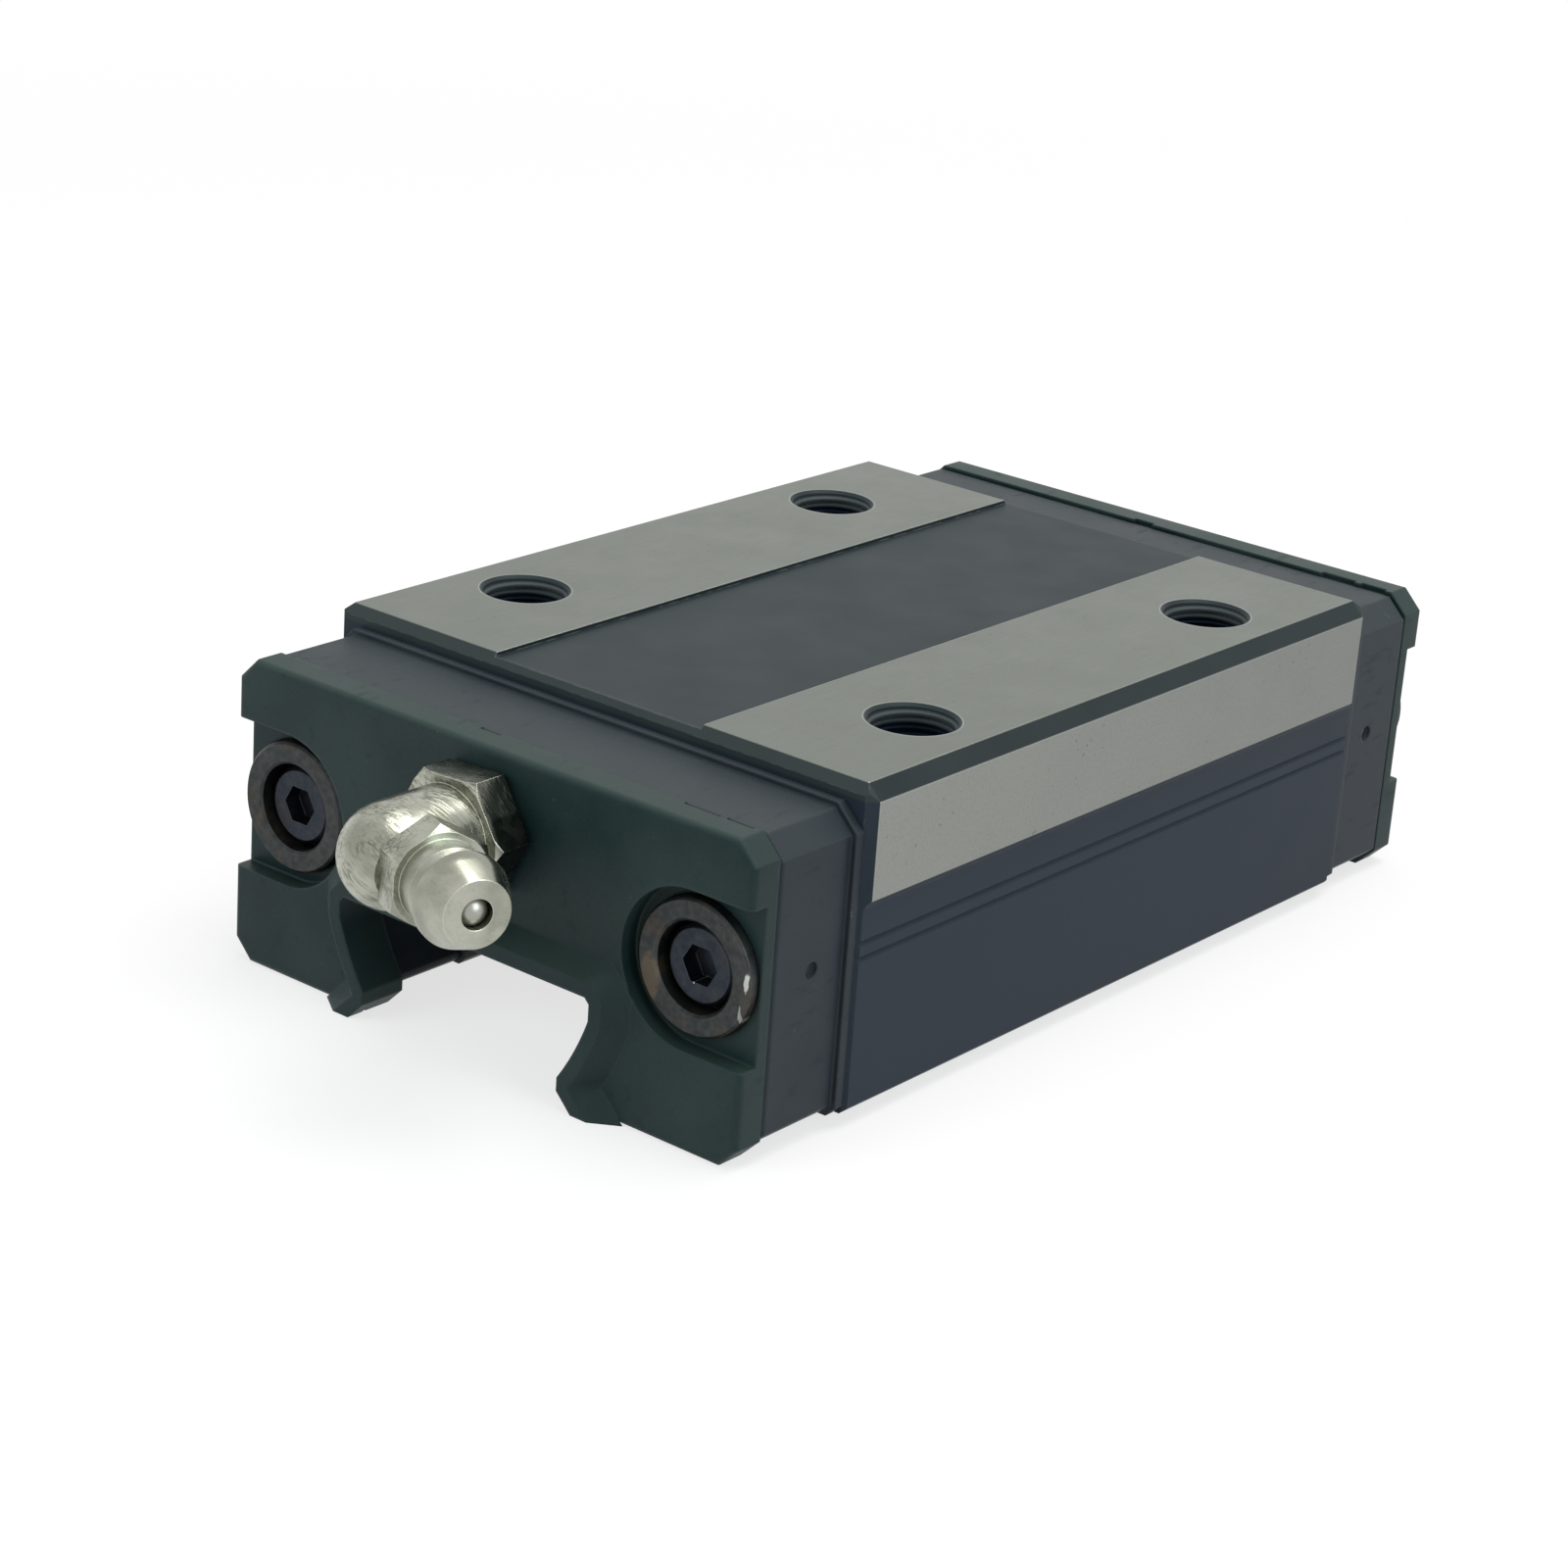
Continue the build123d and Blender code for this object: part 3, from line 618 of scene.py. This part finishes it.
@dataclass(frozen=True)
class Plated:
    """Bright plated brass, brushed aslant and nearly a mirror between the marks, with painted dark
    reflections and painted edge highlights.
    """

    slot: str = "nipple_metal"
    colour: Colour = (0.42, 0.425, 0.36)
    dull: Colour = (0.12, 0.125, 0.095)
    bright: Colour = (0.72, 0.73, 0.62)
    flat_dark_reflection: Colour = (0.055, 0.065, 0.055)
    brushing: tuple[float, float, float] = (0.75, 0.35, -0.55)
    roughness: float = 0.19
    axis_drop_mm: float = 7.0
    body_radius_mm: float = 3.6
    foot_end_mm: float = -43.2
    elbow_end_mm: tuple[float, float] = (3.2, 4.4)
    dark_side_mm: tuple[float, float] = (3.0, 3.6)
    dark_side_share: float = 0.97
    reflection_patch_share: float = 0.45
    scratch_share: float = 0.75
    spot_share: float = 0.25
    edge_highlight_share: float = 0.8

    def material(self) -> bpy.types.Material:
        """Build the material."""
        g = ShaderGraph(self.slot)
        patches = g.noise(1.8, 4.0)
        marks = g.streaks(self.brushing, 0.20, 20.0)
        brushed = g.ramp(patches, 0.42, 0.56)
        elbow = 1 - 0.85 * g.ramp(g.along(Axis.ACROSS), *self.elbow_end_mm)
        scratch = g.ramp(marks, 0.46, 0.60) * (0.25 + 0.75 * brushed) * elbow
        broad_reflection, fine = g.ramp(g.noise(3.2, 2.0), 0.40, 0.62), g.ramp(g.noise(0.5, 4.0), 0.6, 0.8)
        # Painted dark reflections: broad patches darken the plating
        colour = g.blend(broad_reflection * self.reflection_patch_share, self.colour, self.dull)
        colour = g.blend(scratch * self.scratch_share, colour, self.dull)
        colour = g.blend(fine * self.spot_share, colour, self.dull)
        # Painted dark reflection on the foot hexagon's flats, darkest on its far side
        side = g.ramp(g.along(Axis.ACROSS), *self.dark_side_mm) * self.dark_side_share
        dark = g.math("MAXIMUM", 0.45 + 0.5 * g.ramp(patches, 0.4, 0.6), side)
        colour = g.blend(self._foot_flats(g) * dark, colour, self.flat_dark_reflection)
        # Painted edge highlight: edges are blended towards the bright colour
        colour = g.blend(g.edge(0.10) * self.edge_highlight_share, colour, self.bright)
        rough = self.roughness + 0.12 * brushed + 0.06 * marks
        normal = g.bump(scratch, 0.012, g.rounded(0.10))
        return g.finish(Base_Color=colour, Metallic=1.0, Roughness=rough, Normal=normal)

    def _foot_flats(self, g: ShaderGraph) -> Signal:
        """1 on the flats of the foot's hexagon, away from its outer face."""
        across, up = g.along(Axis.ACROSS), g.along(Axis.UP) + self.axis_drop_mm
        reach = (across ** 2 + up ** 2) ** 0.5
        end, rim = self.foot_end_mm, self.body_radius_mm
        behind = g.ramp(g.along(Axis.ALONG), end + 0.1, end + 0.4)
        return g.ramp(reach, rim + 0.3, rim + 0.4) * behind


@dataclass(frozen=True)
class Polished:
    """Polished ball steel with the faintest haze."""

    slot: str = "ball_steel"
    colour: Colour = (0.36, 0.36, 0.32)
    dull: Colour = (0.20, 0.20, 0.18)
    roughness: float = 0.27

    def material(self) -> bpy.types.Material:
        """Build the material."""
        g = ShaderGraph(self.slot)
        haze = g.noise(0.8, 3.0)
        colour = g.blend(haze * 0.2, self.colour, self.dull)
        return g.finish(Base_Color=colour, Metallic=1.0, Roughness=self.roughness + 0.10 * haze)


class GeometryGraph(NodeGraph):
    """The nodes of one Geometry Nodes modifier, with named inputs."""

    def __init__(self, name: str) -> None:
        """Make the tree with its geometry coming in and going out."""
        super().__init__(bpy.data.node_groups.new(name, "GeometryNodeTree"))
        self._socket("Geometry", "INPUT", "NodeSocketGeometry")
        self._socket("Geometry", "OUTPUT", "NodeSocketGeometry")
        self.group = self.tree.nodes.new("NodeGroupInput")

    def _socket(self, name: str, way: str, kind: str) -> None:
        """Add a socket to the tree's own interface."""
        self.tree.interface.new_socket(name, in_out=way, socket_type=kind)

    def came_in(self) -> Signal:
        """The geometry that the modifier is given."""
        return Signal(self, self.group.outputs["Geometry"])

    def number(self, name: str, whole: bool = False) -> Signal:
        """Add a named number to the modifier's inputs.

        Args:
            name: Its name.
            whole: True for a whole number.

        Returns:
            The number inside the tree.
        """
        self._socket(name, "INPUT", "NodeSocketInt" if whole else "NodeSocketFloat")
        return Signal(self, self.group.outputs[name])

    def close(self, geometry: Signal) -> None:
        """End the tree in Realize Instances and Set Material.

        Args:
            geometry: What the tree has made.
        """
        self._socket("Finish", "INPUT", "NodeSocketMaterial")
        real = self.node("GeometryNodeRealizeInstances", {"Geometry": geometry})
        finish = Signal(self, self.group.outputs["Finish"])
        dressed = self.node("GeometryNodeSetMaterial", {"Geometry": real, "Material": finish})
        self.node("NodeGroupOutput", {"Geometry": dressed})

    def put_on(self, piece: bpy.types.Object, **inputs: Value) -> None:
        """Give a piece the tree as a modifier.

        Args:
            piece: The object.
            inputs: Values by the input's name, with an underscore for each space.
        """
        modifier = piece.modifiers.new(self.tree.name, "NODES")
        modifier.node_group = self.tree
        for item in self.tree.interface.items_tree:
            key = item.name.replace(" ", "_")
            if item.in_out == "INPUT" and key in inputs:
                modifier[item.identifier] = inputs[key]


class SmoothFaces:
    """Joins a CAD node's loose triangles and shades its round faces smooth."""

    def __init__(
        self, sharp_angle: float = math.radians(28), merge_distance: float = 1e-6
    ) -> None:
        """Build the tree once for every node.

        Args:
            sharp_angle: Faces that meet at more than this keep a sharp edge.
            merge_distance: Corners that are nearer than this become one.
        """
        self.sharp_angle = sharp_angle
        self.merge_distance = merge_distance
        g = GeometryGraph("smooth_faces")
        distance, angle = g.number("Merge distance"), g.number("Sharp angle")
        loose = {"Geometry": g.came_in(), "Distance": distance}
        joined = g.node("GeometryNodeMergeByDistance", loose)
        turn = g.node("GeometryNodeInputMeshEdgeAngle", output="Unsigned Angle")
        soft = g.node("FunctionNodeCompare", {"A": turn, "B": angle}, operation="LESS_THAN")
        faces = g.node("GeometryNodeSetShadeSmooth", {"Geometry": joined, "Shade Smooth": True})
        sockets = {"Geometry": faces, "Shade Smooth": soft}
        g.close(g.node("GeometryNodeSetShadeSmooth", sockets, domain="EDGE"))
        self.graph = g

    def dress(self, node: bpy.types.Object, material: bpy.types.Material) -> None:
        """Put a finish on a CAD node and shade it.

        Args:
            node: The CAD node.
            material: Its finish.
        """
        node.data.materials.clear()
        node.data.materials.append(material)
        sizes = {"Merge_distance": self.merge_distance, "Sharp_angle": self.sharp_angle}
        self.graph.put_on(node, Finish=material, **sizes)
        LOG.info("dressed %s in %s", node.name, material.name)


@dataclass
class HoleThreads:
    """Helical threads on the walls of the four mounting holes."""

    spacing_x: float
    spacing_y: float
    wall_radius: float
    pitch: float = 0.5 * MM
    crest_radius: float = 2.77 * MM
    top: float = -0.40 * MM
    depth: float = 8.07 * MM
    steps_per_turn: int = 40

    def build(self, material: bpy.types.Material) -> None:
        """Make the threads of all four holes as one mesh, riding on the carriage.

        Args:
            material: Their finish.
        """
        g = GeometryGraph("hole_threads")
        radius, crest = g.number("Wall radius"), g.number("Crest radius")
        pitch, turns = g.number("Pitch"), g.number("Turns")
        steps = g.number("Steps per turn", whole=True)
        across, along = g.number("Spacing across"), g.number("Spacing along")
        top = g.number("Top")
        spiral = {
            "Resolution": steps,
            "Rotations": turns,
            "Start Radius": radius,
            "End Radius": radius,
            "Height": pitch * turns,
        }
        helix = g.node("GeometryNodeCurveSpiral", spiral)
        triangle = {"Resolution": 3, "Radius": radius - crest}
        ring = g.node("GeometryNodeCurvePrimitiveCircle", triangle, mode="RADIUS")
        swept = {"Curve": helix, "Profile Curve": ring, "Fill Caps": True}
        rib = g.node("GeometryNodeCurveToMesh", swept)
        grid = {"Size X": across, "Size Y": along, "Vertices X": 2, "Vertices Y": 2}
        centres = g.node("GeometryNodeMeshGrid", grid)
        depth = g.node("ShaderNodeCombineXYZ", {"Z": top - pitch * turns})
        placed = g.node("GeometryNodeTransform", {"Geometry": centres, "Translation": depth})
        g.close(g.node("GeometryNodeInstanceOnPoints", {"Points": placed, "Instance": rib}))
        sizes = {
            "Wall_radius": self.wall_radius,
            "Crest_radius": self.crest_radius,
            "Pitch": self.pitch,
            "Turns": self.depth / self.pitch,
            "Steps_per_turn": self.steps_per_turn,
            "Spacing_across": self.spacing_x,
            "Spacing_along": self.spacing_y,
            "Top": self.top,
        }
        piece = plain_mesh("mounting_hole_threads", g, material, sizes)
        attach(piece, "carriage")
        LOG.info("cut %s", piece.name)


def plain_mesh(
    name: str, graph: GeometryGraph, material: bpy.types.Material, sizes: Mapping[str, Value]
) -> bpy.types.Object:
    """Run a tree on an empty mesh and keep what it makes as a plain mesh.

    Args:
        name: Name of the new piece.
        graph: The tree.
        material: Its finish.
        sizes: The tree's inputs by name.

    Returns:
        The new piece, with no modifier left on it.
    """
    carrier = bpy.data.objects.new(f"{name}_carrier", bpy.data.meshes.new(f"{name}_carrier"))
    bpy.context.scene.collection.objects.link(carrier)
    graph.put_on(carrier, Finish=material, **sizes)
    evaluated = carrier.evaluated_get(bpy.context.evaluated_depsgraph_get())
    mesh = bpy.data.meshes.new_from_object(evaluated)
    bpy.data.objects.remove(carrier)
    mesh.name = name
    piece = bpy.data.objects.new(name, mesh)
    bpy.context.scene.collection.objects.link(piece)
    return piece


@dataclass
class Carriage:
    """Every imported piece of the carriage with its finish, and the threads of its holes."""

    finishes: dict[str, bpy.types.Material] = field(default_factory=dict)

    def __post_init__(self) -> None:
        """Build one finish for each of the record's material slots."""
        makers = (
            BlockSteel(),
            Moulding("cap_plastic", *CAP_COLOURS),
            Moulding("seal_plastic", *SEAL_COLOURS, dust=0.12),
            Moulding("retainer_plastic", *RETAINER_COLOURS),
            TurnedMetal("screw_steel", *SCREW_COLOURS, roughness=0.36, face_marks=SCREW_BRIGHT_SPOTS),
            TurnedMetal("collar_steel", *COLLAR_COLOURS, roughness=0.42, face_marks=COLLAR_STAIN_AND_GLINTS),
            Plated(),
            TurnedMetal("spring_steel", *SPRING_COLOURS, roughness=0.3),
            Polished(),
        )
        self.finishes.update({maker.slot: maker.material() for maker in makers})

    def dress(self, record: Mapping[str, object], nodes: Mapping[str, bpy.types.Object]) -> None:
        """Put each node's own finish on it.

        Args:
            record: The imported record.
            nodes: The CAD nodes by name.
        """
        smooth = SmoothFaces()
        for subpart in record["subparts"]:
            smooth.dress(nodes[subpart["node"]], self.finishes[subpart["material_slot"]])

    def thread_holes(self, record: Mapping[str, object]) -> None:
        """Cut the threads that the record's bolt pattern tells of."""
        dims = next(m["dims"] for m in record["mounts"] if m["kind"] == "bolt_pattern")
        sizes = (dims["spacing_x_mm"] * MM, dims["spacing_y_mm"] * MM, dims["hole_r_mm"] * MM)
        HoleThreads(*sizes).build(self.finishes["carriage_steel"])


@dataclass(frozen=True)
class PhotoCamera:
    """A camera where the photograph was taken from."""

    place: Sequence[float] = (0.155141, -0.207094, 0.083244)
    right: Sequence[float] = (0.77010, 0.63419, 0.06887)
    up: Sequence[float] = (-0.27500, 0.23263, 0.93288)
    back: Sequence[float] = (0.57560, -0.73735, 0.35355)
    lens_mm: float = 86.43
    film_mm: float = 36.0

    def build(self) -> None:
        """Make it the scene's camera."""
        data = bpy.data.cameras.new("photo_camera")
        data.lens, data.sensor_width = self.lens_mm, self.film_mm
        data.sensor_fit = "HORIZONTAL"
        data.clip_start = 0.01
        camera = bpy.data.objects.new("photo_camera", data)
        turn = Matrix((self.right, self.up, self.back)).transposed().to_4x4()
        camera.matrix_world = Matrix.Translation(Vector(self.place)) @ turn
        bpy.context.scene.collection.objects.link(camera)
        bpy.context.scene.camera = camera


@dataclass(frozen=True)
class SoftBox:
    """One large soft lamp that points at the carriage."""

    name: str
    place: Sequence[float]
    width: float
    power: float
    colour: Colour = WHITE
    mirrored: bool = True

    def build(self) -> None:
        """Hang the lamp."""
        data = bpy.data.lights.new(self.name, "AREA")
        data.shape, data.size = "SQUARE", self.width
        data.energy, data.color = self.power, self.colour
        lamp = bpy.data.objects.new(self.name, data)
        lamp.location = self.place
        lamp.visible_glossy = self.mirrored
        lamp.rotation_euler = Vector(self.place).to_track_quat("Z", "Y").to_euler()
        bpy.context.scene.collection.objects.link(lamp)


@dataclass(frozen=True)
class Studio:
    """Pale floor, soft lamps and a white surround."""

    floor_level: float
    floor_half: float = 3.0
    floor_colour: Colour = (0.88, 0.88, 0.88)
    glow_share: float = 0.72
    fade: tuple[float, float] = (0.10, 0.40)
    surround: float = 0.42
    lamps: tuple[SoftBox, ...] = (
        SoftBox("top_box", (0.10, 0.10, 0.55), 0.45, 2.9, (1.0, 1.0, 0.96)),
        SoftBox("front_box", (-0.25, -0.50, 0.22), 0.35, 1.6, (0.90, 0.98, 1.0), mirrored=False),
        SoftBox("side_box", (0.60, -0.05, 0.20), 0.35, 1.4, (0.82, 0.93, 1.0)),
    )

    def build(self) -> None:
        """Set everything round the carriage."""
        self._lay_floor()
        self._light_surround()
        for lamp in self.lamps:
            lamp.build()
        bpy.context.scene.view_settings.view_transform = "Standard"

    @staticmethod
    def _seen_as_background(graph: NodeGraph) -> Signal:
        """1 for rays from the camera, off metal and through glass."""
        path = graph.tree.nodes.new("ShaderNodeLightPath")
        camera = Signal(graph, path.outputs["Is Camera Ray"])
        for name in ("Is Glossy Ray", "Is Transmission Ray"):
            camera = graph.math("MAXIMUM", camera, Signal(graph, path.outputs[name]))
        return camera

    def _lay_floor(self) -> None:
        """Lay the floor just under the carriage."""
        half = self.floor_half
        outline = ((-half, -half), (half, -half), (half, half), (-half, half))
        corners = [(x, y, self.floor_level) for x, y in outline]
        mesh = bpy.data.meshes.new("floor")
        mesh.from_pydata(corners, [], [(0, 1, 2, 3)])
        floor = bpy.data.objects.new("floor", mesh)
        bpy.context.scene.collection.objects.link(floor)
        material = bpy.data.materials.new("floor_paper")
        material.use_nodes = True
        g = NodeGraph(material.node_tree)
        paper = g.node("ShaderNodeBsdfDiffuse", {"Color": self.floor_colour})
        glow = g.node("ShaderNodeEmission", {"Color": WHITE, "Strength": 1.0})
        place = g.node("ShaderNodeTexCoord", output="Object")
        distance = g.vector("LENGTH", {0: place}, "Value")
        far = g.ramp(distance, *self.fade, "SMOOTHSTEP")
        share = self._seen_as_background(g) * (self.glow_share + far * (1 - self.glow_share))
        both = g.node("ShaderNodeMixShader", {0: share, 1: paper, 2: glow})
        g.node("ShaderNodeOutputMaterial", {"Surface": both})
        mesh.materials.append(material)
        floor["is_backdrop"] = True

    def _light_surround(self) -> None:
        """Make the world white to the eye and softer as a light."""
        world = bpy.data.worlds.new("surround")
        bpy.context.scene.world = world
        world.use_nodes = True
        g = NodeGraph(world.node_tree)
        seen = self._seen_as_background(g)
        strength = self.surround + seen * (1 - self.surround)
        light = g.node("ShaderNodeBackground", {"Color": WHITE, "Strength": strength})
        g.node("ShaderNodeOutputWorld", {"Surface": light})


def main() -> None:
    """Dress the carriage, then set the light and the camera."""
    logging.basicConfig(level=logging.INFO, format="%(name)s: %(message)s")
    cad_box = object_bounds()
    carriage = Carriage()
    carriage.dress(frame["record"], frame["nodes"])
    carriage.thread_holes(frame["record"])
    Studio(floor_level=cad_box[0][2] - FLOOR_GAP).build()
    PhotoCamera().build()


if __name__ == "__main__":
    main()
